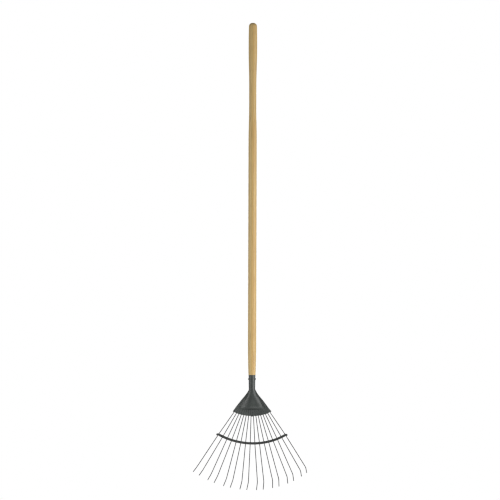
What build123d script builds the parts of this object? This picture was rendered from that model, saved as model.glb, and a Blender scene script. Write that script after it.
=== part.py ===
from build123d import *
import math
import os

# Leaf rake: a turned ash shaft riveted into a pressed steel head, which clamps the roots of
# sixteen sprung wire tines. Two crimped strips tie the tines together part of the way down.
# Millimetres. The origin is on the shaft's axis in the middle of the grip swell. +Z runs up
# the shaft, +X is to the right, and the tine hooks point to -Y, which is the front.

# Shaft, measured down from its top end
shaft_diameter = 28.0
grip_diameter = 28.8
waist_diameter = 24.4
end_diameter = 27.6
end_rounding = 12.0
grip_centre_below_top = 72.0
grip_length = 44.0
waist_start, waist_end = 215.0, 282.0
shaft_full_from, shaft_full_to = 403.0, 1068.0
shoulder_below_top = 1193.0
shoulder_diameter = 24.4
shoulder_rounding = 1.0
tenon_length = 44.0
tenon_clearance = 0.05
tenon_chamfer = 1.5

# Socket, rolled from the same sheet as the head shell
socket_top_diameter = 23.1
socket_foot_diameter = 21.5
socket_length = 53.0
sheet = 1.5
seam_gap = 1.2

# Rivet through the socket and the tenon
rivet_below_socket_top = 14.0
rivet_diameter = 4.0
rivet_hole_clearance = 0.1
rivet_head_diameter = 8.0
rivet_head_height = 1.7

# Fan: the tines lie on a cylinder whose axis runs down the fan in front of it, so that the
# outer tines come forward and all the tips meet the ground together
apex_below_top = 1232.0
fan_lean = 6.0
fan_curve_radius = 450.0
tine_count = 16
tine_diameter = 2.5
tine_pitch_angle = 4.68
pair_pitch_angle = 9.2
pair_half_angle = 1.36
root_radius = 80.0
clamp_radius = 101.0
bend_radius_from_apex = 326.0
hook_length = 43.5
hook_angle = 61.0
hook_bend_radius = 11.0
crossing_bend_radius = 30.0
lock_bend_radius = 2.0
lock_end_length = 4.4
lock_hole_clearance = 0.5

# Head shell outline, as half widths at distances down the fan from the apex
neck_half_width, neck_down = socket_foot_diameter / 2, 7.0
throat_half_width, throat_down = 16.5, 22.0
flare_half_width, flare_down = 24.2, 32.5
cheek_half_width, cheek_down = 37.0, 46.3
corner_half_width, corner_down = 64.4, 83.5
lug_half_width, lug_down = 54.5, 90.5
lip_down = 100.5
sheet_gap = tine_diameter / 2 + 0.05

# Dome pressed into the head shell: distance down, half width and height of each section
dome_start_down = 5.0
dome_sections = [(18.0, 13.0, 12.4), (38.0, 22.5, 14.6), (58.0, 35.5, 16.8), (69.0, 41.5, 17.6)]
dome_foot_down, dome_foot_half_width, dome_foot_height = 76.5, 44.0, 16.0

# Back plate and its folded tabs
back_plate_top_down = 27.0
back_plate_inset = 1.2
middle_tab_width = 5.0
corner_tab_width = 3.8
tab_thickness = 1.5
tab_flap = 3.2
tab_root = 4.0
tab_clearance = 0.15
corner_tab_aside = 3.3

# Brace strips, on an arc a little flatter than one round the apex
brace_mid_down = 194.0
brace_arc_radius = 220.0
strip_height = 8.0
strip_thickness = 1.2
strip_parting = 0.05
strip_end_length = 7.2
strip_end_height = 7.0
brace_rivet_diameter = 2.4
brace_rivet_head_diameter = 3.8
brace_rivet_head_height = 0.9
brace_rivet_out = 4.8
brace_rivet_clearance = 0.05
brace_rivet_seat_gap = 0.02
brace_rivet_shank_spare = 0.2

# Cutting tools and blanks that only have to be longer than what they cut
long_blank = 400.0
short_blank = 60.0
drill = 20.0

top_z = grip_centre_below_top
socket_top_z = top_z - shoulder_below_top
apex_z = top_z - apex_below_top
lean = math.radians(fan_lean)
front = (0, -math.cos(lean), -math.sin(lean))
fan = Plane(origin=(0, 0, apex_z), x_dir=(1, 0, 0), z_dir=front)


def socket_radius(below):
    """Outside radius of the tapered socket at a distance below its top edge."""
    taper = (socket_top_diameter - socket_foot_diameter) / 2 / socket_length
    return socket_top_diameter / 2 - taper * min(below, socket_length)


def rivet_hole_bar():
    hole = Cylinder((rivet_diameter + rivet_hole_clearance) / 2, short_blank)
    return Pos(0, 0, socket_top_z - rivet_below_socket_top) * Rot(Y=90) * hole


def make_handle():
    """Turned shaft with a domed end, a grip swell, a waist and a tapered tenon."""
    grip_top = top_z - grip_centre_below_top + grip_length / 2
    grip_foot = grip_top - grip_length
    round_base = top_z - end_rounding
    tenon_foot = socket_top_z - tenon_length
    tenon_top_radius = socket_radius(0) - sheet - tenon_clearance
    tenon_foot_radius = socket_radius(tenon_length) - sheet - tenon_clearance
    down = (0, -1)
    with BuildSketch(Plane.XZ) as profile:
        with BuildLine():
            end_flat = end_diameter / 2 - end_rounding
            Line((0, top_z), (end_flat, top_z))
            CenterArc((end_flat, round_base), end_rounding, 0, arc_size=90)
            Line((end_diameter / 2, round_base), (grip_diameter / 2, grip_top))
            Line((grip_diameter / 2, grip_top), (grip_diameter / 2, grip_foot))
            waist_top = (waist_diameter / 2, top_z - waist_start)
            waist_foot = (waist_diameter / 2, top_z - waist_end)
            Spline((grip_diameter / 2, grip_foot), waist_top, tangents=[down, down])
            Line(waist_top, waist_foot)
            full_top = (shaft_diameter / 2, top_z - shaft_full_from)
            full_foot = (shaft_diameter / 2, top_z - shaft_full_to)
            Spline(waist_foot, full_top, tangents=[down, down])
            Line(full_top, full_foot)
            shoulder = (shoulder_diameter / 2, socket_top_z + shoulder_rounding)
            TangentArc(full_foot, shoulder, tangent=down)
            shoulder_foot = (shoulder_diameter / 2 - shoulder_rounding, socket_top_z)
            RadiusArc(shoulder, shoulder_foot, shoulder_rounding)
            Polyline(
                shoulder_foot,
                (tenon_top_radius, socket_top_z),
                (tenon_foot_radius, tenon_foot + tenon_chamfer),
                (tenon_foot_radius - tenon_chamfer, tenon_foot),
                (0, tenon_foot),
                (0, top_z),
            )
        make_face()
    return revolve(profile.sketch, axis=Axis.Z) - rivet_hole_bar()


def make_socket_rivet():
    """Pin along X with a domed head at each end, seated on the socket's round wall."""
    seat = socket_radius(rivet_below_socket_top)
    shank = Rot(Y=90) * Cylinder(rivet_diameter / 2, 2 * seat)
    head_radius = rivet_head_diameter / 2
    cap_radius = (head_radius**2 + rivet_head_height**2) / 2 / rivet_head_height
    with BuildSketch(Plane.XZ) as half_head:
        with BuildLine():
            crown = (0, seat + rivet_head_height)
            rim = (head_radius, seat)
            RadiusArc(crown, rim, cap_radius)
            Polyline(rim, (head_radius, seat - 1.0), (0, seat - 1.0), crown)
        make_face()
    head = Rot(Y=90) * revolve(half_head.sketch, axis=Axis.Z)
    head -= Cylinder(seat + 0.1, 20)
    heads = head + mirror(head, Plane.YZ)
    return Pos(0, 0, socket_top_z - rivet_below_socket_top) * (shank + heads)


def fan_layer(outline, inner, outer):
    """A sheet cut to an outline and curved with the fan, between two offsets to the front."""
    ring = Cylinder(fan_curve_radius - inner, long_blank)
    ring -= Cylinder(fan_curve_radius - outer, long_blank)
    ring = Pos(0, 0, fan_curve_radius) * Rot(X=90) * ring
    prism = extrude(outline, amount=short_blank, both=True)
    return ring & prism


def shell_outline(inset=0):
    """Outline of the head shell in the fan's plane, Y up the fan, or the same drawn inwards."""
    right = [
        (neck_half_width - inset, -neck_down),
        (throat_half_width - inset, -throat_down),
        (flare_half_width - inset, -flare_down),
        (cheek_half_width - inset, -cheek_down),
        (corner_half_width - inset, -corner_down + inset),
    ]
    left = [(-x, y) for x, y in reversed(right)]
    lug = (lug_half_width, -lug_down + inset)
    lug_left = (-lug_half_width, -lug_down + inset)
    side_slope = math.radians(tine_pitch_angle * (tine_count - 1) / 2)
    outward = (math.sin(side_slope), -math.cos(side_slope))
    with BuildSketch() as outline:
        with BuildLine():
            Spline(*right, tangents=[(0, -1), outward])
            Line(right[-1], lug)
            ThreePointArc(lug, (0, -lip_down + inset), lug_left)
            Line(lug_left, left[0])
            Spline(*left, tangents=[(outward[0], -outward[1]), (0, 1)])
            Line(left[-1], right[0])
        make_face()
    return outline.sketch


def dome_body(wall):
    """Solid of the pressed dome, less a wall: from the round socket to a wide ledge."""
    neck = Plane(origin=(0, 0, apex_z - dome_start_down), z_dir=(0, 0, 1)) * Circle(
        socket_foot_diameter / 2 - wall
    )
    sections = [fan.location.inverse() * neck]
    for down, half_width, height in dome_sections:
        place = Plane(origin=(0, -down, 0), x_dir=(1, 0, 0), z_dir=(0, 1, 0))
        sections.append(place * Ellipse(half_width - wall, height - wall))
    place = Plane(origin=(0, -dome_foot_down + wall, 0), x_dir=(1, 0, 0), z_dir=(0, 1, 0))
    sections.append(place * Ellipse(dome_foot_half_width - wall, dome_foot_height - wall))
    return loft(sections)


def make_head_shell():
    """Pressed sheet: rolled socket, domed middle, and cheeks that end in the clamping lip."""
    steps = [(socket_radius(0), 0), (socket_radius(socket_length), -socket_length)]
    outer = [(r, socket_top_z + z) for r, z in steps]
    inner = [(r - sheet, z) for r, z in reversed(outer)]
    with BuildSketch(Plane.XZ) as wall:
        with BuildLine():
            Polyline(*outer, *inner, close=True)
        make_face()
    socket = revolve(wall.sketch, axis=Axis.Z)
    seam = Pos(0, 15, socket_top_z) * Box(seam_gap, drill, 3 * socket_length)
    behind = Cylinder(fan_curve_radius + short_blank, long_blank)
    behind -= Cylinder(fan_curve_radius - sheet_gap, long_blank)
    behind = Pos(0, 0, fan_curve_radius) * Rot(X=90) * behind
    flat = fan_layer(shell_outline(), sheet_gap, sheet_gap + sheet)
    hollow = dome_body(sheet)
    dome = dome_body(0) - hollow - behind
    pressing = fan * ((flat - hollow) + dome)
    bore = Pos(0, 0, socket_top_z - socket_length / 2) * Cylinder(
        socket_radius(socket_length) - sheet, socket_length
    )
    shell = (socket - seam) + (pressing - bore)
    return shell - rivet_hole_bar()


def on_fan(radius, angle):
    """Point of the fan's curved surface, by radius from the apex and angle from the middle."""
    x = radius * math.sin(math.radians(angle))
    y = -radius * math.cos(math.radians(angle))
    return Vector(x, y, fan_curve_radius - math.sqrt(fan_curve_radius**2 - x * x))


def tine_angle(number):
    return (number - (tine_count + 1) / 2) * tine_pitch_angle


def crossing_radius(angle):
    """Distance from the apex at which a tine crosses the brace's arc."""
    rise = brace_arc_radius - brace_mid_down
    aside = rise * math.sin(math.radians(angle))
    return math.sqrt(brace_arc_radius**2 - aside**2) - rise * math.cos(math.radians(angle))


def lower_angle(number):
    """Below the brace the tines run in pairs that are nearly parallel."""
    pair = (number - 1) // 2
    middle = (pair - (tine_count / 2 - 1) / 2) * pair_pitch_angle
    return middle - pair_half_angle if number % 2 else middle + pair_half_angle


def tine_route(number):
    """Corner points of a tine's centreline, and the radius of the bend at each inner one."""
    angle = tine_angle(number)
    root = on_fan(root_radius, angle)
    exit_point = on_fan(clamp_radius, angle)
    crossing = on_fan(crossing_radius(angle), angle)
    way = math.radians(lower_angle(number))
    step = Vector(math.sin(way), -math.cos(way), 0)
    flat = Vector(crossing.X, crossing.Y, 0)
    along = flat.dot(step)
    run = -along + math.sqrt(along**2 + bend_radius_from_apex**2 - flat.length**2)
    below = flat + step * run
    depth = fan_curve_radius - math.sqrt(fan_curve_radius**2 - below.X**2)
    bend = Vector(below.X, below.Y, depth)
    ahead = (bend - crossing).normalized()
    forward = (Vector(0, 0, 1) - ahead * ahead.Z).normalized()
    turn = math.radians(hook_angle)
    tip = bend + (ahead * math.cos(turn) + forward * math.sin(turn)) * hook_length
    lock = root - Vector(0, 0, lock_end_length)
    points = [lock, root, exit_point, crossing, bend, tip]
    radii = [lock_bend_radius, crossing_bend_radius, crossing_bend_radius, hook_bend_radius]
    if (exit_point - root).get_angle(crossing - exit_point) < 0.1:
        del points[2], radii[1]
    return points, radii


def tine_body(number, radius):
    """Round bar of any radius along a tine's route, in the fan's frame."""
    points, radii = tine_route(number)
    path = FilletPolyline(*points, radius=radii)
    section = Plane(origin=path @ 0, z_dir=path % 0) * Circle(radius)
    return sweep(section, path=path)


def make_tine(number):
    """Sprung wire: locking end, straight run to the brace, straight lower run and a hook."""
    return fan * tine_body(number, tine_diameter / 2)


def make_tab(angle, down, aside, width):
    """Tongue of the back plate, folded forward under the lip and up over the shell."""
    seat = on_fan(math.hypot(down, aside), angle + math.degrees(math.atan2(aside, down)))
    tilt = math.degrees(math.asin(seat.X / fan_curve_radius))
    place = Location((seat.X, seat.Y, seat.Z)) * Rot(Y=-tilt) * Rot(Z=angle)
    front_face = sheet_gap + sheet + tab_clearance
    depth = front_face + tab_thickness + sheet_gap + sheet
    bottom = Pos(0, -tab_thickness / 2 - tab_clearance, front_face + tab_thickness - depth / 2)
    flap = Pos(0, tab_flap / 2 - tab_clearance, front_face + tab_thickness / 2)
    root = Pos(0, 0, -sheet_gap - sheet / 2)
    tab = bottom * Box(width, tab_thickness, depth)
    tab += flap * Box(width, tab_flap, tab_thickness)
    tab += root * Box(width, tab_root, sheet)
    return place * tab


def make_back_plate():
    """Flat plate behind the tine roots, with a hole for each lock end and three tabs."""
    plate = fan_layer(shell_outline(back_plate_inset), -sheet_gap - sheet, -sheet_gap)
    above = Pos(0, long_blank / 2 - back_plate_top_down, 0)
    plate -= above * Box(long_blank, long_blank, short_blank)
    for number in range(1, tine_count + 1):
        root = on_fan(root_radius, tine_angle(number))
        hole = Cylinder((tine_diameter + lock_hole_clearance) / 2, drill)
        plate -= Pos(root.X, root.Y, root.Z) * hole
    side = math.radians(tine_angle(tine_count))
    corner = corner_half_width * math.sin(side) + corner_down * math.cos(side)
    plate += make_tab(0, lip_down, 0, middle_tab_width)
    plate += make_tab(tine_angle(tine_count), corner, corner_tab_aside, corner_tab_width)
    plate += make_tab(tine_angle(1), corner, -corner_tab_aside, corner_tab_width)
    return fan * plate


def strip_end(hand):
    """Middle of a strip's end, just past the outermost tine, on the fan's surface."""
    last = on_fan(crossing_radius(tine_angle(tine_count)), tine_angle(tine_count))
    x = last.X + brace_rivet_out
    return Vector(hand * x, last.Y, fan_curve_radius - math.sqrt(fan_curve_radius**2 - x * x))


def strip_outline():
    """Arc across the tines, with a level tongue past the outermost tine at each end."""
    reach = strip_end(1).X - brace_rivet_out
    sweep_angle = math.degrees(math.asin(reach / brace_arc_radius))
    arc_centre = (0, brace_arc_radius - brace_mid_down)
    arc = CenterArc(arc_centre, brace_arc_radius, 270 - sweep_angle, 2 * sweep_angle)
    outline = trace(arc, line_width=strip_height)
    tongue_length = strip_end_length + strip_height / 2
    for hand in (-1, 1):
        end = strip_end(hand)
        middle = end.X + hand * (strip_end_length - brace_rivet_out - tongue_length / 2)
        outline += Pos(middle, end.Y) * SlotOverall(tongue_length, strip_end_height)
    return outline


def brace_rivet_bar(hand, radius, length):
    """Round bar square to the fan's surface at a strip's end."""
    end = strip_end(hand)
    tilt = math.degrees(math.asin(end.X / fan_curve_radius))
    return Location((end.X, end.Y, end.Z)) * Rot(Y=-tilt) * Cylinder(radius, length)


def make_strip(side):
    """One brace strip, crimped over every tine: side is 1 for the front one, -1 for the back."""
    outline = strip_outline()
    near, far = sorted([side * strip_parting, side * (strip_parting + strip_thickness)])
    strip = fan_layer(outline, near, far)
    near, far = sorted([side * strip_parting, side * 8])
    beads = fan_layer(outline, near, far)
    tines = range(1, tine_count + 1)
    bore_radius = tine_diameter / 2 + strip_parting
    bead_bars = [tine_body(number, bore_radius + strip_thickness) for number in tines]
    strip += [bar & beads for bar in bead_bars]
    strip -= [tine_body(number, bore_radius) for number in tines]
    for hand in (-1, 1):
        hole_radius = brace_rivet_diameter / 2 + brace_rivet_clearance
        strip -= brace_rivet_bar(hand, hole_radius, drill)
    return fan * strip


def make_brace_rivets():
    """Two rivets that close the strips' ends, past the outermost tines."""
    face = strip_parting + strip_thickness
    rivets = []
    for hand in (-1, 1):
        shank_length = 2 * face + brace_rivet_shank_spare
        shank = brace_rivet_bar(hand, brace_rivet_diameter / 2, shank_length)
        seat = face + brace_rivet_seat_gap
        head_length = 2 * (seat + brace_rivet_head_height)
        heads = brace_rivet_bar(hand, brace_rivet_head_diameter / 2, head_length)
        heads = fillet(heads.edges().filter_by(GeomType.CIRCLE), brace_rivet_head_height * 0.6)
        heads -= brace_rivet_bar(hand, brace_rivet_head_diameter, 2 * seat)
        rivets.append(fan * (shank + heads))
    return Compound(rivets)


if __name__ == "__main__":
    os.makedirs("parts", exist_ok=True)
    export_step(make_handle(), "parts/handle.step")
    export_step(make_head_shell(), "parts/head_shell.step")
    export_step(make_back_plate(), "parts/back_plate.step")
    export_step(make_socket_rivet(), "parts/socket_rivet.step")
    for number in range(1, tine_count + 1):
        export_step(make_tine(number), f"parts/tine_{number:02d}.step")
    export_step(make_strip(1), "parts/brace_front_strip.step")
    export_step(make_strip(-1), "parts/brace_back_strip.step")
    export_step(make_brace_rivets(), "parts/brace_rivets.step")
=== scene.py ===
import math

import bmesh
import bpy
from mathutils import Matrix, Quaternion, Vector


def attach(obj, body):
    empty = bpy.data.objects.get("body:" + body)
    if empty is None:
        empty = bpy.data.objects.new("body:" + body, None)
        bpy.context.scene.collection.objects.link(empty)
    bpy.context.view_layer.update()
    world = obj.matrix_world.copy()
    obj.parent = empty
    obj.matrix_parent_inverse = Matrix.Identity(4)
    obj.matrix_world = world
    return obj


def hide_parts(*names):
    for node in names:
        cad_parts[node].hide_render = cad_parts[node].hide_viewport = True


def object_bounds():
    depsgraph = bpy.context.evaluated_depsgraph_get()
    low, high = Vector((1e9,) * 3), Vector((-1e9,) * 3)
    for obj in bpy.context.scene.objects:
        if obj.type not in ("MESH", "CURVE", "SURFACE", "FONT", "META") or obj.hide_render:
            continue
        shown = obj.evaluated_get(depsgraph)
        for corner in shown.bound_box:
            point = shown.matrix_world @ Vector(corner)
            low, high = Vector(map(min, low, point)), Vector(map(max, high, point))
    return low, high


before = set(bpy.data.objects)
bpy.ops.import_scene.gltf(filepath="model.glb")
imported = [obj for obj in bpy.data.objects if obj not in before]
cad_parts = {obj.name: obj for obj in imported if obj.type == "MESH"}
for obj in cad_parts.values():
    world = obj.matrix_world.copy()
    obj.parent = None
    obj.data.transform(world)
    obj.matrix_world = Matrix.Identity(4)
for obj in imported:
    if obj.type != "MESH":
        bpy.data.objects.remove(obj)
cadLow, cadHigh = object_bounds()
mm = 0.001
body = "root"

# sizes that several pieces share, in millimetres and degrees
fan = dict(
    apexBelowOrigin=1160.0,
    lean=6.0,
    curve=450.0,  # radius of the cylinder that the wires lie on
    tineCount=16,
    tineDiameter=2.5,
    tinePitch=4.68,
    pairPitch=9.2,
    pairHalf=1.36,
    root=80.0,
    clamp=101.0,
    braceMid=194.0,
    braceArc=220.0,
    bend=326.0,
    sheetGap=1.3,  # from the wires' middle to each sheet
    sheet=1.5,
)
tineNumbers = range(1, fan["tineCount"] + 1)

# how every mesh is finished, in millimetres and degrees
meshing = dict(
    weld=0.003,
    sheetCorner=55,  # a sheet's edges sharper than this are softened
    wireCorner=60,
    softSteps=2,
    sharpFrom=38,
)


def smoothStep(low, high, value):
    share = min(max((value - low) / (high - low), 0), 1)
    return share * share * (3 - 2 * share)


# a smooth curve through (place, value) stations
def through(stations, at):
    if at <= stations[0][0]:
        return stations[0][1]
    for i in range(len(stations) - 1):
        (x0, y0), (x1, y1) = stations[i], stations[i + 1]
        if at > x1:
            continue
        before = stations[i - 1] if i else (2 * x0 - x1, 2 * y0 - y1)
        after = stations[i + 2] if i + 2 < len(stations) else (2 * x1 - x0, 2 * y1 - y0)
        slope0 = (y1 - before[1]) / (x1 - before[0])
        slope1 = (after[1] - y0) / (after[0] - x0)
        run = x1 - x0
        t = (at - x0) / run
        ends = (2 * t**3 - 3 * t**2 + 1) * y0 + (3 * t**2 - 2 * t**3) * y1
        return ends + (t**3 - 2 * t**2 + t) * run * slope0 + (t**3 - t**2) * run * slope1
    return stations[-1][1]


# the fan's own axes run across, down from its apex and forward
def fanPoint(across, down, forward, lean=fan["lean"]):
    turn = math.radians(lean)
    y = down * math.sin(turn) - forward * math.cos(turn)
    z = -fan["apexBelowOrigin"] - down * math.cos(turn) - forward * math.sin(turn)
    return Vector((across, y, z)) * mm


# how far the curved fan stands forward of its middle line
def dish(across):
    return fan["curve"] - math.sqrt(fan["curve"] ** 2 - across**2)


def tineAngle(number):
    return math.radians((number - (fan["tineCount"] + 1) / 2) * fan["tinePitch"])


# below the brace the wires run in pairs that are nearly parallel
def lowerAngle(number):
    pair = (number - 1) // 2 - (fan["tineCount"] / 2 - 1) / 2
    side = -1 if number % 2 else 1
    return math.radians(pair * fan["pairPitch"] + side * fan["pairHalf"])


# distance from the apex at which a wire passes through the brace
def crossingRadius(angle):
    rise = fan["braceArc"] - fan["braceMid"]
    return math.sqrt(fan["braceArc"] ** 2 - (rise * math.sin(angle)) ** 2) - rise * math.cos(angle)


# sRGB hex to linear red, green, blue, alpha
def toLinear(text):
    parts = [int(text[i : i + 2], 16) / 255 for i in (1, 3, 5)]
    return [p / 12.92 if p <= 0.04045 else ((p + 0.055) / 1.055) ** 2.4 for p in parts] + [1.0]


# one node, with its settings; each input is linked to a socket or given a value
def addNode(tree, kind, inputs=None, **settings):
    node = tree.nodes.new(kind)
    for name, value in settings.items():
        setattr(node, name, value)
    for socket, value in (inputs or {}).items():
        if isinstance(value, bpy.types.NodeSocket):
            tree.links.new(value, node.inputs[socket])
        else:
            node.inputs[socket].default_value = value
    return node


def newMaterial(name):
    material = bpy.data.materials.new(name)
    material.use_nodes = True
    material.node_tree.nodes.clear()
    return material, material.node_tree


def newPiece(name, mesh):
    piece = bpy.data.objects.new(name, mesh)
    bpy.context.scene.collection.objects.link(piece)
    return piece


# turns a piece and its modifiers, or a curve, into one plain mesh piece
def madePlain(piece):
    graph = bpy.context.evaluated_depsgraph_get()
    mesh = bpy.data.meshes.new_from_object(
        piece.evaluated_get(graph), preserve_all_data_layers=True, depsgraph=graph
    )
    name = piece.name
    bpy.data.objects.remove(piece)
    mesh.name = name
    return newPiece(name, mesh)


def joined(name, pieces):
    shape = bmesh.new()
    for piece in pieces:
        shape.from_mesh(piece.data)
        bpy.data.objects.remove(piece)
    mesh = bpy.data.meshes.new(name)
    shape.to_mesh(mesh)
    shape.free()
    return newPiece(name, mesh)


# a sheet of even thickness with softened edges, from rows of points through its middle
def sheetPiece(name, rows, thickness, softEdge):
    wide = len(rows[0])
    faces = []
    for r in range(len(rows) - 1):
        for c in range(wide - 1):
            first = r * wide + c
            faces.append((first, first + 1, first + wide + 1, first + wide))
    mesh = bpy.data.meshes.new(name)
    mesh.from_pydata([point for row in rows for point in row], [], faces)
    piece = newPiece(name, mesh)
    wall = piece.modifiers.new("wall", "SOLIDIFY")
    wall.thickness = thickness * mm
    wall.offset = 0
    wall.use_even_offset = True
    edge = piece.modifiers.new("edge", "BEVEL")
    edge.width = softEdge * mm
    edge.segments = meshing["softSteps"]
    edge.limit_method = "ANGLE"
    edge.angle_limit = math.radians(meshing["sheetCorner"])
    return madePlain(piece)


# a profile of (radius, height) points spun round the Z axis and then placed
def spunPiece(name, profile, sides, place=Matrix.Identity(4)):
    points, faces = [], []
    for radius, height in profile:
        for i in range(sides):
            turn = 2 * math.pi * i / sides
            point = Vector((radius * math.cos(turn), radius * math.sin(turn), height)) * mm
            points.append(place @ point)
    for r in range(len(profile) - 1):
        for i in range(sides):
            near, far = r * sides, (r + 1) * sides
            after = (i + 1) % sides
            faces.append((near + i, near + after, far + after, far + i))
    mesh = bpy.data.meshes.new(name)
    mesh.from_pydata(points, [], faces)
    return newPiece(name, mesh)


def settle(piece, material, slotName, *nodes):
    mesh = piece.data
    weld = meshing["weld"] * mm
    shape = bmesh.new()
    shape.from_mesh(mesh)
    bmesh.ops.remove_doubles(shape, verts=shape.verts, dist=weld)
    bmesh.ops.dissolve_degenerate(shape, edges=shape.edges, dist=weld)
    bmesh.ops.recalc_face_normals(shape, faces=shape.faces)
    shape.to_mesh(mesh)
    shape.free()
    mesh.materials.clear()
    mesh.materials.append(material)
    mesh.shade_smooth()
    mesh.set_sharp_from_angle(angle=math.radians(meshing["sharpFrom"]))
    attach(piece, body)
    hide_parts(*nodes)
    print("made", piece.name, len(mesh.polygons), "faces")
    return piece


# a Geometry Nodes tree with named inputs, and its input node
def newTree(name, sizes):
    tree = bpy.data.node_groups.new(name, "GeometryNodeTree")
    tree.interface.new_socket("Geometry", in_out="OUTPUT", socket_type="NodeSocketGeometry")
    tree.interface.new_socket("Geometry", in_out="INPUT", socket_type="NodeSocketGeometry")
    for label, kind in sizes.items():
        tree.interface.new_socket(label, in_out="INPUT", socket_type="NodeSocket" + kind)
    return tree, addNode(tree, "NodeGroupInput").outputs


def useTree(piece, tree, values):
    modifier = piece.modifiers.new(tree.name, "NODES")
    modifier.node_group = tree
    for item in tree.interface.items_tree:
        if item.in_out == "INPUT" and item.name in values:
            modifier[item.identifier] = values[item.name]


# Ash turned to size and sealed with a thin satin lacquer: pale straw wood whose growth
# rings show as long honey, tan and olive bands, with fine darker pore lines along them
ashLook = dict(
    pale="#dabf81",
    honey="#cea562",
    olive="#b39a5c",
    late="#a8854b",
    pore="#7d5c35",
    bandWidth=7.0,
    ringSpacing=2.6,
    poreWidth=0.7,  # real pores are 0.2 mm wide, too fine to show
    poreLength=28.0,
    pithAside=(31.0, -46.0),
    wander=2.2,
    roughness=0.46,
)


def lacqueredAsh():
    look = ashLook
    material, tree = newMaterial("lacqueredTurnedAsh")
    place = addNode(tree, "ShaderNodeTexCoord").outputs["Object"]
    slow = addNode(tree, "ShaderNodeMapping", {"Vector": place, "Scale": (1, 1, 0.09)})
    drift = addNode(
        tree,
        "ShaderNodeTexNoise",
        {"Vector": slow.outputs[0], "Scale": 38.0, "Detail": 1.0, "Roughness": 0.4},
    )
    # distance from the pith, which lies outside the shaft, so each ring is a long line
    fromPith = addNode(
        tree,
        "ShaderNodeVectorMath",
        {0: place, 1: (look["pithAside"][0] * mm, look["pithAside"][1] * mm, 0)},
        operation="SUBTRACT",
    )
    flat = addNode(
        tree, "ShaderNodeVectorMath", {0: fromPith.outputs[0], 1: (1, 1, 0)}, operation="MULTIPLY"
    )
    reach = addNode(tree, "ShaderNodeVectorMath", {0: flat.outputs[0]}, operation="LENGTH")
    ringPlace = addNode(
        tree,
        "ShaderNodeMath",
        {0: drift.outputs["Fac"], 1: 4 * look["wander"] * mm, 2: reach.outputs["Value"]},
        operation="MULTIPLY_ADD",
    )
    bands = addNode(
        tree,
        "ShaderNodeTexNoise",
        {"W": ringPlace.outputs[0], "Scale": 1 / (look["bandWidth"] * mm), "Detail": 1.0},
        noise_dimensions="1D",
    )
    rings = addNode(
        tree,
        "ShaderNodeTexNoise",
        {"W": ringPlace.outputs[0], "Scale": 1 / (look["ringSpacing"] * mm), "Detail": 3.0},
        noise_dimensions="1D",
    )
    grainScale = (1, 1, look["poreWidth"] / look["poreLength"])
    along = addNode(tree, "ShaderNodeMapping", {"Vector": place, "Scale": grainScale})
    pores = addNode(
        tree,
        "ShaderNodeTexNoise",
        {"Vector": along.outputs[0], "Scale": 0.5 / (look["poreWidth"] * mm), "Detail": 2.0},
    )
    tone = addNode(tree, "ShaderNodeValToRGB", {"Fac": bands.outputs["Fac"]})
    stops = [
        (0.34, look["olive"]),
        (0.46, look["pale"]),
        (0.56, look["honey"]),
        (0.68, look["pale"]),
    ]
    ramp = tone.color_ramp
    while len(ramp.elements) < len(stops):
        ramp.elements.new(0.5)
    for element, (at, colour) in zip(ramp.elements, stops):
        element.position = at
        element.color = toLinear(colour)
    lateWood = addNode(
        tree,
        "ShaderNodeMapRange",
        {"Value": rings.outputs["Fac"], "From Min": 0.5, "From Max": 0.72, "To Max": 0.55},
    )
    withRings = addNode(
        tree,
        "ShaderNodeMix",
        {0: lateWood.outputs[0], 6: tone.outputs["Color"], 7: toLinear(look["late"])},
        data_type="RGBA",
    )
    poreMask = addNode(
        tree,
        "ShaderNodeMapRange",
        {"Value": pores.outputs["Fac"], "From Min": 0.57, "From Max": 0.7, "To Max": 0.5},
    )
    colour = addNode(
        tree,
        "ShaderNodeMix",
        {0: poreMask.outputs[0], 6: withRings.outputs[2], 7: toLinear(look["pore"])},
        data_type="RGBA",
    )
    rough = addNode(
        tree,
        "ShaderNodeMapRange",
        {
            "Value": pores.outputs["Fac"],
            "To Min": look["roughness"] - 0.06,
            "To Max": look["roughness"] + 0.1,
        },
    )
    relief = addNode(
        tree,
        "ShaderNodeBump",
        {"Height": pores.outputs["Fac"], "Strength": 0.25, "Distance": 0.1 * mm},
        invert=True,
    )
    shader = addNode(
        tree,
        "ShaderNodeBsdfPrincipled",
        {
            "Base Color": colour.outputs[2],
            "Roughness": rough.outputs[0],
            "Normal": relief.outputs[0],
            "IOR": 1.48,
            "Coat Weight": 0.2,
            "Coat Roughness": 0.32,
        },
    )
    addNode(tree, "ShaderNodeOutputMaterial", {"Surface": shader.outputs[0]})
    return material


# the shaft, in millimetres: its top is above the origin, and places are measured down from it
shaft = dict(
    top=72.0,
    endRadius=13.8,
    endRounding=12.0,
    gripRadius=14.4,
    gripFrom=50.0,
    gripTo=94.0,
    waistRadius=12.2,
    waistFrom=215.0,
    waistTo=282.0,
    fullRadius=14.0,
    fullFrom=403.0,
    fullTo=1068.0,
    shoulderRadius=12.2,
    shoulderAt=1193.0,
    shoulderRounding=1.0,
    tenonTopRadius=10.0,
    tenonFootRadius=9.34,
    tenonLength=44.0,
    tenonChamfer=1.5,
    sides=72,
    step=9.0,
    endSteps=12,
    shoulderSteps=4,
)


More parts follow.
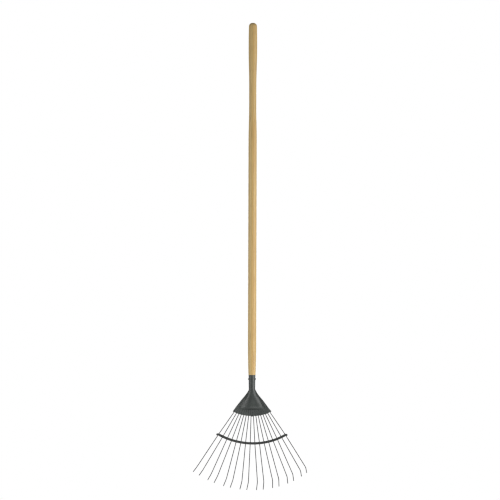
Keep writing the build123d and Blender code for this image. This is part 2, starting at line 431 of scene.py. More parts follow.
# radius at a distance below the top, between the domed end and the shoulder
def shaftRadius(below):
    s = shaft
    if below < s["gripFrom"]:
        share = (below - s["endRounding"]) / (s["gripFrom"] - s["endRounding"])
        return s["endRadius"] + share * (s["gripRadius"] - s["endRadius"])
    if below < s["waistTo"]:
        share = smoothStep(s["gripTo"], s["waistFrom"], below)
        return s["gripRadius"] + share * (s["waistRadius"] - s["gripRadius"])
    if below < s["fullTo"]:
        share = smoothStep(s["waistTo"], s["fullFrom"], below)
        return s["waistRadius"] + share * (s["fullRadius"] - s["waistRadius"])
    run = s["shoulderAt"] - s["shoulderRounding"] - s["fullTo"]
    drop = s["fullRadius"] - s["shoulderRadius"]
    taper = (run**2 + drop**2) / (2 * drop)
    return s["fullRadius"] - taper + math.sqrt(taper**2 - (below - s["fullTo"]) ** 2)


def makeShaft(material):
    s = shaft
    profile = [(0, s["top"])]
    flat = s["endRadius"] - s["endRounding"]
    for i in range(s["endSteps"] + 1):
        turn = math.radians(90 * i / s["endSteps"])
        height = s["top"] - s["endRounding"] * (1 - math.cos(turn))
        profile.append((flat + s["endRounding"] * math.sin(turn), height))
    last = s["shoulderAt"] - s["shoulderRounding"]
    count = round((last - s["endRounding"]) / s["step"])
    for i in range(1, count + 1):
        below = s["endRounding"] + (last - s["endRounding"]) * i / count
        profile.append((shaftRadius(below), s["top"] - below))
    for i in range(1, s["shoulderSteps"] + 1):
        turn = math.radians(90 * i / s["shoulderSteps"])
        inward = s["shoulderRounding"] * (1 - math.cos(turn))
        height = s["top"] - last - s["shoulderRounding"] * math.sin(turn)
        profile.append((s["shoulderRadius"] - inward, height))
    shoulder = s["top"] - s["shoulderAt"]
    foot = shoulder - s["tenonLength"]
    profile += [
        (s["tenonTopRadius"], shoulder),
        (s["tenonFootRadius"], foot + s["tenonChamfer"]),
        (s["tenonFootRadius"] - s["tenonChamfer"], foot),
        (0, foot),
    ]
    piece = spunPiece("shaft", profile, s["sides"])
    settle(piece, material, "shaft_wood", "handle")


# Low-carbon steel that was pressed, punched or drawn and then powder coated: a satin,
# faintly rippled dark green-grey skin, with lighter rubbed edges
def coatedSteel(name, look):
    material, tree = newMaterial(name)
    place = addNode(tree, "ShaderNodeTexCoord").outputs["Object"]
    cloud = addNode(
        tree,
        "ShaderNodeTexNoise",
        {"Vector": place, "Scale": 1 / (look["cloud"] * mm), "Detail": 3.0, "Roughness": 0.55},
    )
    peel = addNode(
        tree,
        "ShaderNodeTexNoise",
        {"Vector": place, "Scale": 1 / (look["peel"] * mm), "Detail": 2.0},
    )
    spread = addNode(
        tree,
        "ShaderNodeMapRange",
        {"Value": cloud.outputs["Fac"], "From Min": 0.36, "From Max": 0.64},
    )
    coat = addNode(
        tree,
        "ShaderNodeMix",
        {0: spread.outputs[0], 6: toLinear(look["deep"]), 7: toLinear(look["lit"])},
        data_type="RGBA",
    )
    if look.get("alongWire"):
        # the ends of the wires are scuffed by the ground
        worn = addNode(tree, "ShaderNodeAttribute", attribute_name="alongWire").outputs["Fac"]
        worn = addNode(
            tree,
            "ShaderNodeMapRange",
            {"Value": worn, "From Min": look["alongWire"], "From Max": 1.0, "To Max": look["rub"]},
        ).outputs[0]
    else:
        sharpness = addNode(tree, "ShaderNodeNewGeometry").outputs["Pointiness"]
        worn = addNode(
            tree,
            "ShaderNodeMapRange",
            {"Value": sharpness, "From Min": 0.53, "From Max": 0.62, "To Max": look["rub"]},
        ).outputs[0]
    patch = addNode(
        tree,
        "ShaderNodeMapRange",
        {"Value": peel.outputs["Fac"], "From Min": 0.42, "From Max": 0.6},
    )
    mask = addNode(tree, "ShaderNodeMath", {0: worn, 1: patch.outputs[0]}, operation="MULTIPLY")
    colour = addNode(
        tree,
        "ShaderNodeMix",
        {0: mask.outputs[0], 6: coat.outputs[2], 7: toLinear(look["rubbed"])},
        data_type="RGBA",
    )
    rough = addNode(
        tree,
        "ShaderNodeMapRange",
        {
            "Value": cloud.outputs["Fac"],
            "From Min": 0.3,
            "From Max": 0.7,
            "To Min": look["roughness"] - 0.05,
            "To Max": look["roughness"] + 0.06,
        },
    )
    relief = addNode(
        tree,
        "ShaderNodeBump",
        {"Height": peel.outputs["Fac"], "Strength": look["ripple"], "Distance": 0.12 * mm},
    )
    shader = addNode(
        tree,
        "ShaderNodeBsdfPrincipled",
        {
            "Base Color": colour.outputs[2],
            "Roughness": rough.outputs[0],
            "Normal": relief.outputs[0],
            "IOR": 1.52,
        },
    )
    addNode(tree, "ShaderNodeOutputMaterial", {"Surface": shader.outputs[0]})
    return material


headLook = dict(
    deep="#383c3a",
    lit="#404542",
    rubbed="#777a73",
    cloud=22.0,
    peel=1.3,  # the ripple of the coat, drawn a little coarser than it is
    ripple=0.35,
    rub=0.45,
    roughness=0.38,
)
tineLook = dict(
    headLook,
    deep="#151716",
    lit="#1e201f",
    cloud=30.0,
    peel=1.0,
    alongWire=0.93,  # the rubbed end starts at this share of the wire's length
    rub=0.35,
    roughness=0.45,
)
braceLook = dict(
    headLook, deep="#1e2120", lit="#2a2c29", cloud=34.0, peel=1.1, rub=0.5, roughness=0.46
)
rivetLook = dict(headLook, deep="#333836", lit="#454a47", cloud=6.0, peel=0.9, rub=0.6)


# the head, in millimetres: one steel sheet, rolled into the socket and pressed over the wires
head = dict(
    socketTop=-39.0,  # measured down from the fan's apex, like every place below
    socketFoot=14.0,
    socketTopRadius=11.55,
    socketFootRadius=10.75,
    seamGap=1.2,
    rollEnds=8.0,  # the tube starts to open out here
    openFrom=26.0,  # and is a spread sheet from here on
    outline=[  # (place, half width), like the dome's width below it
        (8.0, 10.75),
        (15.1, 12.7),
        (22.1, 16.5),
        (32.7, 24.3),
        (46.3, 36.0),
        (59.9, 46.6),
        (73.4, 56.9),
        (83.5, 64.4),
    ],
    domeWidth=[
        (8.0, 10.0),
        (22.0, 13.2),
        (38.0, 22.5),
        (47.0, 29.0),
        (58.0, 36.0),
        (69.0, 41.0),
        (83.5, 45.0),
    ],
    domeHeight=[
        (8.0, 10.0),
        (22.0, 10.2),
        (38.0, 11.9),
        (58.0, 14.0),
        (68.0, 14.6),
        (73.0, 12.0),
        (76.5, 4.0),
        (79.0, 0.0),
    ],
    domeCrown=2.2,  # 2 is a parabola; more makes the flanks steeper
    domeFillet=0.15,  # share of the half width that the hollow round its foot takes
    cheekTilt=0.32,  # how steeply the sheet beside the dome rises to its edge
    cheekStart=1.0,
    cheekFrom=(24.0, 44.0),  # the rise comes in between these places
    cheekUntil=(70.0, 82.0),  # and goes out between these
    flatFrom=24.0,  # the sheet beside the dome has reached the wires here
    bellFrom=10.0,  # the section turns from half a tube into a bell
    bellTo=58.0,
    leastSlope=0.2,  # keeps the sheet beside the dome short while the tube opens
    leanFrom=-8.0,  # the upright socket bends over to the fan's lean
    leanTo=16.0,
    dishTo=34.0,  # the sheet has taken the fan's curve here
    rimRadius=2.2,
    rimTail=1.5,
    cornerHalf=64.4,
    cornerDown=83.5,
    lugHalf=54.5,
    lugDown=90.5,
    lipDown=100.5,
    bowFrom=79.5,
    ridgeHeight=0.48,
    ridgeHalf=2.3,
    ridgeBefore=6.0,  # it starts this far above a wire's root and is full below it
    ridgeFull=2.0,
    frontColumns=34,
    backColumns=30,
    socketRows=10,
    domeRows=60,
    lipRows=18,
    softEdge=0.3,
)


# the lip is an arc between the lugs, and straight from each lug to its corner
def lipDown(across):
    h = head
    across = abs(across)
    if across > h["lugHalf"]:
        share = min((across - h["lugHalf"]) / (h["cornerHalf"] - h["lugHalf"]), 1)
        return h["lugDown"] + share * (h["cornerDown"] - h["lugDown"])
    sag = h["lipDown"] - h["lugDown"]
    arc = (h["lugHalf"] ** 2 + sag**2) / (2 * sag)
    return h["lipDown"] - arc + math.sqrt(arc**2 - across**2)


def socketRadius(down):
    share = (down - head["socketTop"]) / (head["socketFoot"] - head["socketTop"])
    return head["socketTopRadius"] + share * (head["socketFootRadius"] - head["socketTopRadius"])


# right half of a cross-section through the middle of the sheet, from the front round to
# the back, as (across, forward) points
def shellSection(down):
    h = head
    opened = smoothStep(h["rollEnds"], h["openFrom"], down)
    tube = socketRadius(min(down, h["rollEnds"])) - fan["sheet"] / 2
    plate = fan["sheetGap"] + fan["sheet"] / 2
    base = plate * smoothStep(h["rollEnds"], h["flatFrom"], down)
    wide = tube if down <= h["rollEnds"] else through(h["domeWidth"], down)
    high = tube if down <= h["rollEnds"] else through(h["domeHeight"], down)
    bell = smoothStep(h["bellFrom"], h["bellTo"], down)
    raised = smoothStep(*h["cheekFrom"], down) * (1 - smoothStep(*h["cheekUntil"], down))
    section = []
    for i in range(h["frontColumns"] + 1):
        u = i / h["frontColumns"]
        turn = u * math.pi / 2
        across = wide * ((1 - bell) * math.sin(turn) + bell * u)
        hollow = h["domeFillet"] * u**2 * smoothStep(1 - h["domeFillet"], 1, u)
        crown = 1 - u ** h["domeCrown"] + hollow
        rise = (1 - bell) * math.cos(turn) + bell * crown
        section.append((across, base + high * rise))
    start = math.radians(-90 + 90 * opened)
    rim = tube + (h["rimRadius"] - tube) * opened
    total = math.pi / 2 - math.asin(h["seamGap"] / 2 / tube) * (1 - opened)
    reach, half = 0, 0
    if down > h["rollEnds"]:
        half = through(h["outline"], down) - fan["sheet"] / 2 * (1 - opened)
        room = half - wide - rim * (1 + math.sin(start))
        reach = max(0, room / max(math.cos(start), h["leastSlope"]))
    tail = h["rimTail"] * opened
    curl = rim * total
    length = reach + curl + tail
    for i in range(1, h["backColumns"] + 1):
        at = length * i / h["backColumns"]
        x, y = wide, base
        run = min(at, reach)
        x += run * math.cos(start)
        y += run * math.sin(start)
        if at > reach:
            turned = min(at - reach, curl) / rim
            x += rim * (math.sin(start) - math.sin(start - turned))
            y -= rim * (math.cos(start) - math.cos(start - turned))
            if at > reach + curl:
                more = at - reach - curl
                x += more * math.cos(start - total)
                y += more * math.sin(start - total)
        beside = max(0, x - wide)
        lift = h["cheekTilt"] * beside**2 / (beside + h["cheekStart"])
        section.append((x, y + lift * raised))
    return section


# a low pressed ridge over the end of each wire
def ridge(across, down):
    h = head
    spot = math.hypot(across, down)
    start = fan["root"] - h["ridgeBefore"]
    if spot < start:
        return 0
    angle = math.atan2(across, down)
    pitch = math.radians(fan["tinePitch"])
    nearest = (round(angle / pitch - 0.5) + 0.5) * pitch
    nearest = max(min(nearest, tineAngle(fan["tineCount"])), tineAngle(1))
    aside = abs(spot * (angle - nearest))
    if aside > h["ridgeHalf"]:
        return 0
    fade = smoothStep(start, fan["root"] + h["ridgeFull"], spot)
    return fade * h["ridgeHeight"] * math.cos(math.pi * aside / 2 / h["ridgeHalf"]) ** 2


def makeHeadShell(material):
    h = head
    stretches = [
        (h["socketTop"], h["rollEnds"], h["socketRows"]),
        (h["rollEnds"], h["bowFrom"], h["domeRows"]),
        (h["bowFrom"], h["cornerDown"], h["lipRows"]),
    ]
    downs = []
    for upper, lower, count in stretches:
        downs += [upper + (lower - upper) * i / count for i in range(count)]
    downs.append(h["cornerDown"])
    rows = []
    for down in downs:
        lean = fan["lean"] * smoothStep(h["leanFrom"], h["leanTo"], down)
        half = shellSection(down)
        mirrored = [(-across, forward) for across, forward in reversed(half[1:])]
        bow = max(0, (down - h["bowFrom"]) / (h["cornerDown"] - h["bowFrom"]))
        onPlate = smoothStep(h["rollEnds"], h["dishTo"], down)
        row = []
        for across, forward in mirrored + half:
            bowed = down + bow * (lipDown(across) - h["cornerDown"])
            lifted = forward + onPlate * dish(across)
            lifted += ridge(across, bowed)
            row.append(fanPoint(across, bowed, lifted, lean))
        rows.append(row)
    piece = sheetPiece("headShell", rows, fan["sheet"], h["softEdge"])
    settle(piece, material, "head_coat", "head_shell")


# the back plate, in millimetres: a flat blank bent to the fan's curve, its tabs folded forward
plate = dict(
    top=27.0,
    inset=1.2,
    holeDiameter=3.0,
    holeSides=20,
    softEdge=0.2,
    bendEvery=4.0,
    outlineStep=3.0,
    middleTabWidth=5.0,
    cornerTabWidth=3.8,
    tabThickness=1.5,
    tabFlap=3.05,
    tabClearance=0.15,
    tabBend=0.9,
    tabOverlap=(3.2, 1.0),  # the stretch flat against the plate, inside the lip's edge
    tabBendSteps=6,
    tabColumns=4,
    cornerTabAside=3.3,
)


def plateOutline():
    h, p = head, plate
    right = []
    count = round((h["cornerDown"] - p["top"]) / p["outlineStep"])
    for i in range(count):
        down = p["top"] + (h["cornerDown"] - p["top"]) * i / count
        right.append((through(h["outline"], down) - p["inset"], down))
    reach = h["cornerHalf"] - p["inset"]
    count = round(reach / p["outlineStep"])
    for i in range(count):
        across = reach * (1 - i / count)
        right.append((across, lipDown(across) - p["inset"]))
    left = [(-across, down) for across, down in reversed(right)]
    return right + [(0, h["lipDown"] - p["inset"])] + left


def plateBlank():
    p = plate
    curve = bpy.data.curves.new("plateBlank", "CURVE")
    curve.dimensions = "2D"
    curve.fill_mode = "BOTH"
    curve.bevel_depth = p["softEdge"] * mm
    curve.bevel_resolution = 1
    curve.extrude = (fan["sheet"] / 2 - p["softEdge"]) * mm
    curve.offset = -p["softEdge"] * mm
    loops = [plateOutline()]
    for number in tineNumbers:
        angle = tineAngle(number)
        middle = (fan["root"] * math.sin(angle), fan["root"] * math.cos(angle))
        hole = []
        for i in range(p["holeSides"]):
            turn = 2 * math.pi * i / p["holeSides"]
            radius = p["holeDiameter"] / 2
            hole.append((middle[0] + radius * math.cos(turn), middle[1] + radius * math.sin(turn)))
        loops.append(hole)
    for loop in loops:
        line = curve.splines.new("POLY")
        line.points.add(len(loop) - 1)
        for point, (across, down) in zip(line.points, loop):
            point.co = (across * mm, down * mm, 0, 1)
        line.use_cyclic_u = True
    blank = madePlain(newPiece("plateBlank", curve))
    shape = bmesh.new()
    shape.from_mesh(blank.data)
    bmesh.ops.remove_doubles(shape, verts=shape.verts, dist=meshing["weld"] * mm)
    cuts = int(head["cornerHalf"] / p["bendEvery"])
    for i in range(-cuts, cuts + 1):
        everything = shape.verts[:] + shape.edges[:] + shape.faces[:]
        bmesh.ops.bisect_plane(
            shape, geom=everything, plane_co=(i * p["bendEvery"] * mm, 0, 0), plane_no=(1, 0, 0)
        )
    behind = -fan["sheetGap"] - fan["sheet"] / 2
    for vertex in shape.verts:
        across, down, forward = vertex.co / mm
        vertex.co = fanPoint(across, down, dish(across) + behind + forward)
    shape.to_mesh(blank.data)
    shape.free()
    return blank


# a tongue that leaves the plate's edge, passes under the lip and lies up over the shell
def plateTab(name, angle, down, aside, width):
    p = plate
    half = p["tabThickness"] / 2
    behind = -fan["sheetGap"] - fan["sheet"] / 2
    front = fan["sheetGap"] + fan["sheet"] + p["tabClearance"] + half
    below = p["tabClearance"] + half
    bend = p["tabBend"]
    path = [(-along, behind) for along in p["tabOverlap"]]
    for corner, start in ((behind, -90), (front, 0)):
        side = 1 if corner == behind else -1
        for i in range(p["tabBendSteps"] + 1):
            turn = math.radians(start + 90 * i / p["tabBendSteps"])
            middle = (below - bend, corner + side * bend)
            path.append((middle[0] + bend * math.cos(turn), middle[1] + bend * math.sin(turn)))
    path.append((-p["tabFlap"], front))
    middleAcross = down * math.sin(angle) + aside * math.cos(angle)
    middleDown = down * math.cos(angle) - aside * math.sin(angle)
    tilt = math.asin(middleAcross / fan["curve"])
    rows = []
    for along, forward in path:
        row = []
        for i in range(p["tabColumns"] + 1):
            wide = width * (i / p["tabColumns"] - 0.5)
            across = wide * math.cos(angle) + along * math.sin(angle) - forward * math.sin(tilt)
            lower = along * math.cos(angle) - wide * math.sin(angle)
            lift = forward * math.cos(tilt) + (across + forward * math.sin(tilt)) * math.tan(tilt)
            spot = (middleAcross + across, middleDown + lower, dish(middleAcross) + lift)
            row.append(fanPoint(*spot))
        rows.append(row)
    return sheetPiece(name, rows, p["tabThickness"], p["softEdge"])


def makeBackPlate(material):
    side = tineAngle(fan["tineCount"])
    corner = head["cornerHalf"] * math.sin(side) + head["cornerDown"] * math.cos(side)
    aside = plate["cornerTabAside"]
    parts = [
        plateBlank(),
        plateTab("middleTab", 0, head["lipDown"], 0, plate["middleTabWidth"]),
        plateTab("rightTab", side, corner, aside, plate["cornerTabWidth"]),
        plateTab("leftTab", -side, corner, -aside, plate["cornerTabWidth"]),
    ]
    settle(joined("backPlate", parts), material, "head_coat", "back_plate")


# the wires, in millimetres and degrees
tine = dict(
    hookLength=43.5,
    hookAngle=61.0,
    hookBend=11.0,
    crossingBend=30.0,
    lockBend=2.0,
    lockLength=4.4,
    bendSteps=9,
    sides=16,
    softEnd=0.35,
    leastTurn=0.1,  # a smaller turn at the clamp is left straight
)


# one wire's corner points, in the fan's axes, and the radius of the bend at each
def tineRoute(number):
    t = tine
    angle, below = tineAngle(number), lowerAngle(number)

    def onFan(radius, turn):
        across = radius * math.sin(turn)
        return Vector((across, radius * math.cos(turn), dish(across)))

    root = onFan(fan["root"], angle)
    leaves = onFan(fan["clamp"], angle)
    crossing = onFan(crossingRadius(angle), angle)
    step = Vector((math.sin(below), math.cos(below)))
    along = crossing.xy.dot(step)
    run = -along + math.sqrt(along**2 + fan["bend"] ** 2 - crossing.xy.length_squared)
    flat = crossing.xy + step * run
    bend = Vector((flat.x, flat.y, dish(flat.x)))
    ahead = (bend - crossing).normalized()
    forward = (Vector((0, 0, 1)) - ahead * ahead.z).normalized()
    hook = math.radians(t["hookAngle"])
    tip = bend + (ahead * math.cos(hook) + forward * math.sin(hook)) * t["hookLength"]
    lock = root - Vector((0, 0, t["lockLength"]))
    points = [lock, root, leaves, crossing, bend, tip]
    radii = [0, t["lockBend"], t["crossingBend"], t["crossingBend"], t["hookBend"], 0]
    if (leaves - root).angle(crossing - leaves) < math.radians(t["leastTurn"]):
        del points[2], radii[2]
    return points, radii


def wireTree():
    tree, given = newTree(
        "bentWire",
        {"Wire Diameter": "Float", "Bend Steps": "Int", "Sides": "Int", "Coat": "Material"},
    )
    line = addNode(tree, "GeometryNodeMeshToCurve", {"Mesh": given["Geometry"]})
    bendRadius = addNode(
        tree, "GeometryNodeInputNamedAttribute", {"Name": "bendRadius"}, data_type="FLOAT"
    )
    bent = addNode(
        tree,
        "GeometryNodeFilletCurve",
        {"Curve": line.outputs[0], "Count": given["Bend Steps"], "Radius": bendRadius.outputs[0]},
        mode="POLY",
    )
    along = addNode(tree, "GeometryNodeSplineParameter")
    marked = addNode(
        tree,
        "GeometryNodeStoreNamedAttribute",
        {"Geometry": bent.outputs[0], "Name": "alongWire", "Value": along.outputs["Factor"]},
        data_type="FLOAT",
        domain="POINT",
    )
    half = addNode(
        tree, "ShaderNodeMath", {0: given["Wire Diameter"], 1: 0.5}, operation="MULTIPLY"
    )
    section = addNode(
        tree,
        "GeometryNodeCurvePrimitiveCircle",
        {"Resolution": given["Sides"], "Radius": half.outputs[0]},
        mode="RADIUS",
    )
    wire = addNode(
        tree,
        "GeometryNodeCurveToMesh",
        {"Curve": marked.outputs[0], "Profile Curve": section.outputs[0], "Fill Caps": True},
    )
    real = addNode(tree, "GeometryNodeRealizeInstances", {"Geometry": wire.outputs[0]})
    coated = addNode(
        tree, "GeometryNodeSetMaterial", {"Geometry": real.outputs[0], "Material": given["Coat"]}
    )
    addNode(tree, "NodeGroupOutput", {"Geometry": coated.outputs[0]})
    return tree


def makeTines(material):
    tree = wireTree()
    for number in tineNumbers:
        points, radii = tineRoute(number)
        mesh = bpy.data.meshes.new(f"tine{number:02d}")
        links = [(i, i + 1) for i in range(len(points) - 1)]
        mesh.from_pydata([fanPoint(*point) for point in points], links, [])
        bends = mesh.attributes.new("bendRadius", "FLOAT", "POINT")
        bends.data.foreach_set("value", [radius * mm for radius in radii])
        piece = newPiece(mesh.name, mesh)
        sizes = {
            "Wire Diameter": fan["tineDiameter"] * mm,
            "Bend Steps": tine["bendSteps"],
            "Sides": tine["sides"],
            "Coat": material,
        }
        useTree(piece, tree, sizes)
        cutEnds = piece.modifiers.new("cutEnds", "BEVEL")
        cutEnds.width = tine["softEnd"] * mm
        cutEnds.segments = meshing["softSteps"]
        cutEnds.limit_method = "ANGLE"
        cutEnds.angle_limit = math.radians(meshing["wireCorner"])
        settle(madePlain(piece), material, "tine_coat", f"tine_{number:02d}")


# the brace, in millimetres: two strips, crimped over every wire and riveted at the ends
brace = dict(
    height=8.0,
    thickness=1.2,
    parting=0.05,
    endLength=7.2,
    endHeight=7.0,
    endEase=0.02,  # radians over which the strip squares up for its end
    endSteps=16,
    endBlunt=0.02,  # keeps the round end's last column open
    crimpHalf=3.4,
    columnStep=0.85,
    rows=8,
    softEdge=0.25,
    rivetOut=4.8,
    rivetHead=3.8,
    rivetHeadHeight=0.9,
    rivetPin=1.2,
    rivetSeat=0.1,
    rivetSides=24,
    rivetSteps=5,
)


# the outermost wire's crossing, as (across, down)
def braceReach():
    angle = tineAngle(fan["tineCount"])
    radius = crossingRadius(angle)
    return radius * math.sin(angle), radius * math.cos(angle)


def makeStrip(name, side, node, material):
    b = brace
    arcCentre = fan["braceMid"] - fan["braceArc"]
    reach, endDown = braceReach()
    last = math.asin(reach / fan["braceArc"])
    end = reach + b["endLength"]
    crossings = []
    for number in tineNumbers:
        angle = tineAngle(number)
        at = math.asin(crossingRadius(angle) * math.sin(angle) / fan["braceArc"])
        crossings.append((at, angle - at, lowerAngle(number) - at))
    # stations along the strip: its angle, middle point, cross direction and half height
    count = round(last * fan["braceArc"] / b["columnStep"])
    stations = []
    for i in range(count + 1):
        at = last * i / count
        squared = smoothStep(last - b["endEase"], last, at)
        turn = at * (1 - squared)
        middle = (fan["braceArc"] * math.sin(at), arcCentre + fan["braceArc"] * math.cos(at))
        half = b["height"] / 2
        half -= (b["height"] - b["endHeight"]) / 2 * squared
        stations.append((at, middle, turn, half))
    roundFrom = end - b["endHeight"] / 2
    for i in range(1, b["endSteps"] + 1):
        across = reach + (end - reach) * math.sin(math.pi / 2 * i / b["endSteps"])
        past = max(0, across - roundFrom)
        half = math.sqrt(max((b["endHeight"] / 2) ** 2 - past**2, b["endBlunt"]))
        stations.append((last + (across - reach) / fan["braceArc"], (across, endDown), 0, half))
    mirrored = [(-at, (-m[0], m[1]), -turn, half) for at, m, turn, half in reversed(stations[1:])]
    rows = []
    for at, middle, turn, half in mirrored + stations:
        row = []
        for i in range(b["rows"] + 1):
            v = half * (2 * i / b["rows"] - 1)
            across = middle[0] + v * math.sin(turn)
            down = middle[1] + v * math.cos(turn)
            lift = 0
            for crossed, above, below in crossings:
                aside = fan["braceArc"] * (at - crossed) - v * math.tan(below if v > 0 else above)
                if abs(aside) < b["crimpHalf"]:
                    wave = math.cos(math.pi * aside / 2 / b["crimpHalf"]) ** 2
                    lift = max(lift, fan["tineDiameter"] / 2 * wave)
            forward = side * (b["parting"] + b["thickness"] / 2 + lift)
            row.append(fanPoint(across, down, dish(across) + forward))
        rows.append(row)
    piece = sheetPiece(name, rows, b["thickness"], b["softEdge"])
    settle(piece, material, "brace_coat", node)


# a domed head's half profile, from its crown to its rim, as (radius, height)
def domeProfile(radius, height, steps):
    sphere = (radius**2 + height**2) / (2 * height)
    widest = math.asin(radius / sphere)
    profile = []
    for i in range(steps + 1):
        turn = widest * i / steps
        profile.append((sphere * math.sin(turn), height - sphere * (1 - math.cos(turn))))
    return profile


def rivetTree():
    tree, given = newTree("rivetHeads", {"Head": "Object", "Coat": "Material"})
    facing = addNode(
        tree, "GeometryNodeInputNamedAttribute", {"Name": "facing"}, data_type="FLOAT_VECTOR"
    )
    turn = addNode(
        tree, "FunctionNodeAlignRotationToVector", {"Vector": facing.outputs[0]}, axis="Z"
    )
    headMesh = addNode(tree, "GeometryNodeObjectInfo", {"Object": given["Head"]})
    heads = addNode(
        tree,
        "GeometryNodeInstanceOnPoints",
        {
            "Points": given["Geometry"],
            "Instance": headMesh.outputs["Geometry"],
            "Rotation": turn.outputs[0],
        },
    )
    real = addNode(tree, "GeometryNodeRealizeInstances", {"Geometry": heads.outputs[0]})
    coated = addNode(
        tree, "GeometryNodeSetMaterial", {"Geometry": real.outputs[0], "Material": given["Coat"]}
    )
    addNode(tree, "NodeGroupOutput", {"Geometry": coated.outputs[0]})
    return tree


def makeBraceRivets(material):
    b = brace
    face = b["parting"] + b["thickness"]
    reach, endDown = braceReach()
    across = reach + b["rivetOut"]
    profile = domeProfile(b["rivetHead"] / 2, b["rivetHeadHeight"], b["rivetSteps"])
    profile += [
        (b["rivetHead"] / 2, -b["rivetSeat"]),
        (b["rivetPin"], -b["rivetSeat"]),
        (b["rivetPin"], -face),
        (0, -face),
    ]
    headPiece = spunPiece("rivetHead", profile, b["rivetSides"])
    points, facings = [], []
    for hand in (-1, 1):
        tilt = hand * math.asin(across / fan["curve"])
        for side in (-1, 1):
            out = Vector((-side * math.sin(tilt), 0, side * math.cos(tilt)))
            spot = Vector((hand * across, endDown, dish(across))) + out * face
            point = fanPoint(*spot)
            points.append(point)
            facings.append(fanPoint(*(spot + out)) - point)
    mesh = bpy.data.meshes.new("braceRivets")
    mesh.from_pydata(points, [], [])
    facing = mesh.attributes.new("facing", "FLOAT_VECTOR", "POINT")
    facing.data.foreach_set("vector", [part for vector in facings for part in vector.normalized()])
    piece = newPiece("braceRivets", mesh)
    useTree(piece, rivetTree(), {"Head": headPiece, "Coat": material})
    piece = madePlain(piece)
    bpy.data.objects.remove(headPiece)
    settle(piece, material, "rivet_coat", "brace_rivets")


# the rivet through the socket and the shaft, in millimetres
socketRivet = dict(
    below=14.0, radius=2.0, headRadius=4.0, headHeight=1.7, seat=0.8, sides=32, steps=8
)


def makeSocketRivet(material):
    r = socketRivet
    level = head["socketTop"] + r["below"]
    wall = socketRadius(level)
    cap = domeProfile(r["headRadius"], r["headHeight"], r["steps"])
    half = [(radius, wall + height) for radius, height in cap]
    half += [(r["headRadius"], wall - r["seat"]), (r["radius"], wall - r["seat"])]
    profile = half + [(radius, -height) for radius, height in reversed(half)]
    middle = Vector((0, 0, -fan["apexBelowOrigin"] - level)) * mm
    place = Matrix.Translation(middle) @ Matrix.Rotation(math.pi / 2, 4, "Y")
    piece = spunPiece("socketRivet", profile, r["sides"], place)
    settle(piece, material, "rivet_coat", "socket_rivet")


# floor and lights, in metres, watts and degrees
studio = dict(
    floorBelow=0.12,
    floorSize=40.0,
    fill=0.25,
    leftWidth=0.9,
    rightWidth=1.7,
    boxHeight=2.2,
    boxAway=2.2,
    boxLevel=-1.08,
    leftAngle=-67,
    rightAngle=62,
    backAngle=180,
    leftPower=20,
    rightPower=46,
    backPower=32,
    lowWidth=1.4,
    lowHeight=1.2,
    lowPower=9.5,
    lowLevel=-2.36,
    bounceSize=1.6,
    bounceLevel=-1.75,
    bouncePower=3.5,
    filterWidth=1.3,  # a crisp lens, for the thin wires
)
# the camera, in metres and degrees
view = dict(
    azimuth=7.2,
    elevation=-1.57,
    distance=9.72,
    level=-0.6986,
    aside=-0.0079,
    roll=0.16,
    frameWidth=1.6925,
    sensor=36,  # in millimetres
)


def makeFloor():
    # a pale sheet, lit so evenly that it looks as bright as the paper behind
    material, tree = newMaterial("paleStudioFloor")
    shader = addNode(tree, "ShaderNodeEmission", {"Color": toLinear("#ffffff"), "Strength": 1.0})
    addNode(tree, "ShaderNodeOutputMaterial", {"Surface": shader.outputs[0]})
    half = studio["floorSize"] / 2
    level = cadLow[2] - studio["floorBelow"]
    mesh = bpy.data.meshes.new("floor")
    corners = [(x * half, y * half, level) for x, y in ((-1, -1), (1, -1), (1, 1), (-1, 1))]
    mesh.from_pydata(corners, [], [(0, 1, 2, 3)])
    mesh.materials.append(material)
    floor = newPiece("floor", mesh)
    floor.visible_diffuse = False
    floor.visible_glossy = False
    floor.visible_shadow = False


# a direction round the object: 0 is the camera's, positive to its right
def around(angle, elevation=0):
    turn, rise = math.radians(view["azimuth"] + angle), math.radians(elevation)
    flat = math.cos(rise)
    return Vector((math.sin(turn) * flat, -math.cos(turn) * flat, math.sin(rise)))


def softBox(name, angle, power, width, height=studio["boxHeight"], level=0):
    light = bpy.data.lights.new(name, "AREA")
    light.shape = "RECTANGLE"
    light.size = width
    light.size_y = height
    light.energy = power
    lamp = bpy.data.objects.new(name, light)
    away = around(angle) * studio["boxAway"] + Vector((0, 0, level))
    lamp.location = away + Vector((0, 0, studio["boxLevel"]))
    lamp.rotation_euler = away.to_track_quat("Z", "Y").to_euler()
    bpy.context.scene.collection.objects.link(lamp)


# light that the floor throws back up, under the head
def floorBounce():
    light = bpy.data.lights.new("floorBounce", "AREA")
    light.size = studio["bounceSize"]
    light.energy = studio["bouncePower"]
    lamp = bpy.data.objects.new("floorBounce", light)
    lamp.location = (0, 0, studio["bounceLevel"])
    lamp.rotation_euler = (math.pi, 0, 0)
    bpy.context.scene.collection.objects.link(lamp)


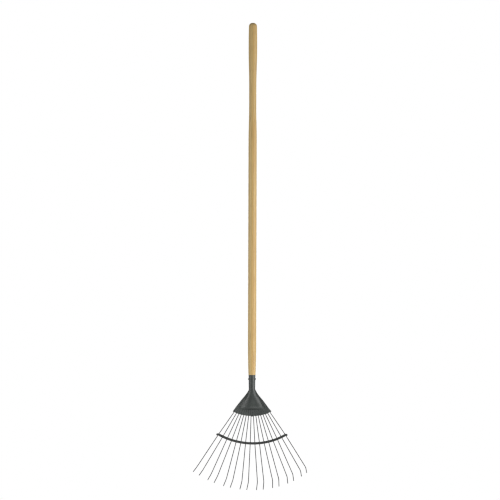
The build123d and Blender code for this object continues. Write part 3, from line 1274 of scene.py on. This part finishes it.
def makeWorld():
    world = bpy.data.worlds.new("studio")
    bpy.context.scene.world = world
    world.use_nodes = True
    tree = world.node_tree
    tree.nodes.clear()
    path = addNode(tree, "ShaderNodeLightPath")
    white = (1, 1, 1, 1)
    paper = addNode(tree, "ShaderNodeBackground", {"Color": white, "Strength": 1.0})
    room = addNode(tree, "ShaderNodeBackground", {"Color": white, "Strength": studio["fill"]})
    seen = addNode(
        tree,
        "ShaderNodeMixShader",
        {0: path.outputs["Is Camera Ray"], 1: room.outputs[0], 2: paper.outputs[0]},
    )
    addNode(tree, "ShaderNodeOutputWorld", {"Surface": seen.outputs[0]})
    bpy.context.scene.view_settings.view_transform = "Standard"
    bpy.context.scene.cycles.filter_width = studio["filterWidth"]


def makeCamera():
    lens = bpy.data.cameras.new("camera")
    lens.sensor_width = view["sensor"]
    lens.lens = lens.sensor_width * view["distance"] / view["frameWidth"]
    camera = bpy.data.objects.new("camera", lens)
    back = around(0, view["elevation"])
    rightward = Vector((-back.y, back.x, 0)).normalized()
    target = Vector((0, 0, view["level"])) + rightward * view["aside"]
    camera.location = target + back * view["distance"]
    roll = Quaternion((0, 0, 1), math.radians(view["roll"]))
    camera.rotation_euler = (back.to_track_quat("Z", "Y") @ roll).to_euler()
    bpy.context.scene.collection.objects.link(camera)
    bpy.context.scene.camera = camera


print("shaft")
makeShaft(lacqueredAsh())
print("head")
headCoat = coatedSteel("powderCoatedPressedSteel", headLook)
makeHeadShell(headCoat)
makeBackPlate(headCoat)
print("wires")
makeTines(coatedSteel("powderCoatedSpringWire", tineLook))
print("brace")
braceCoat = coatedSteel("powderCoatedSteelStrip", braceLook)
makeStrip("braceFrontStrip", 1, "brace_front_strip", braceCoat)
makeStrip("braceBackStrip", -1, "brace_back_strip", braceCoat)
print("rivets")
rivetCoat = coatedSteel("powderCoatedRivet", rivetLook)
makeBraceRivets(rivetCoat)
makeSocketRivet(rivetCoat)
print("studio")
makeWorld()
makeFloor()
softBox("leftBox", studio["leftAngle"], studio["leftPower"], studio["leftWidth"])
softBox("rightBox", studio["rightAngle"], studio["rightPower"], studio["rightWidth"])
softBox("backBox", studio["backAngle"], studio["backPower"], studio["rightWidth"])
lowDrop = studio["lowLevel"] - studio["boxLevel"]
softBox("lowBox", 0, studio["lowPower"], studio["lowWidth"], studio["lowHeight"], lowDrop)
floorBounce()
makeCamera()
